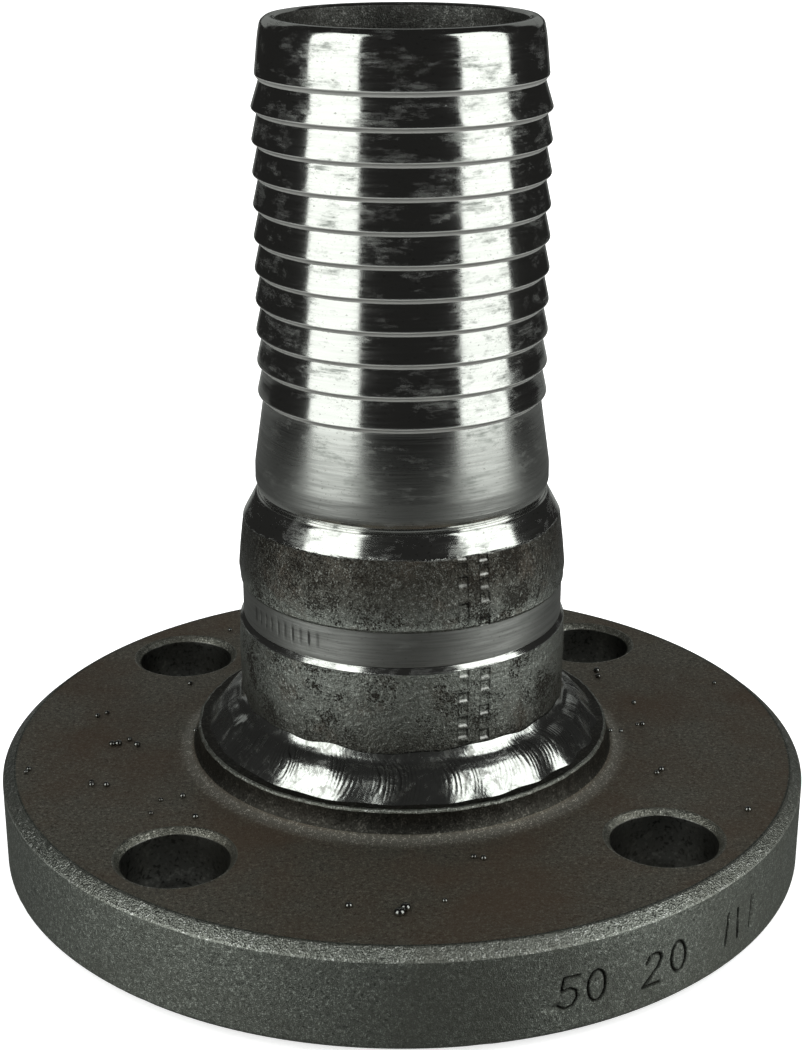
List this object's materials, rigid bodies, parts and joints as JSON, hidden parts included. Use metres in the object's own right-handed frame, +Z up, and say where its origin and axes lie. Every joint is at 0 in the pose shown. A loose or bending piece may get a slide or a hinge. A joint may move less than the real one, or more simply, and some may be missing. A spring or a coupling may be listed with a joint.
{
  "type": "flanged hose shank",
  "caption": "Steel hose shank: a barbed stem with a ferrule groove and collar, welded into a slip-on pipe flange with bolt holes and a raised gasket face.",
  "frame": {"origin": "centre of the flange's raised gasket face, which the part stands on", "axes": "+Z runs up the stem's axis to the hose end; the bolt holes straddle the X and Y axes"},
  "size_m": [0.1524, 0.1524, 0.1564],
  "materials": {
    "flange_steel": "forged carbon steel, dark and grainy, with bright machined edges",
    "turned_steel": "turned and polished carbon steel above the groove, dark forged skin on the collar and the spigot",
    "weld_metal": "bright rippled arc-weld bead",
    "bore_weld_metal": "rippled arc-weld bead inside the flange bore"
  },
  "bodies": {
    "root": {"flange": "flange_steel", "hose_stem": "turned_steel", "fillet_weld": "weld_metal", "bore_weld": "bore_weld_metal"}
  },
  "joints": []
}
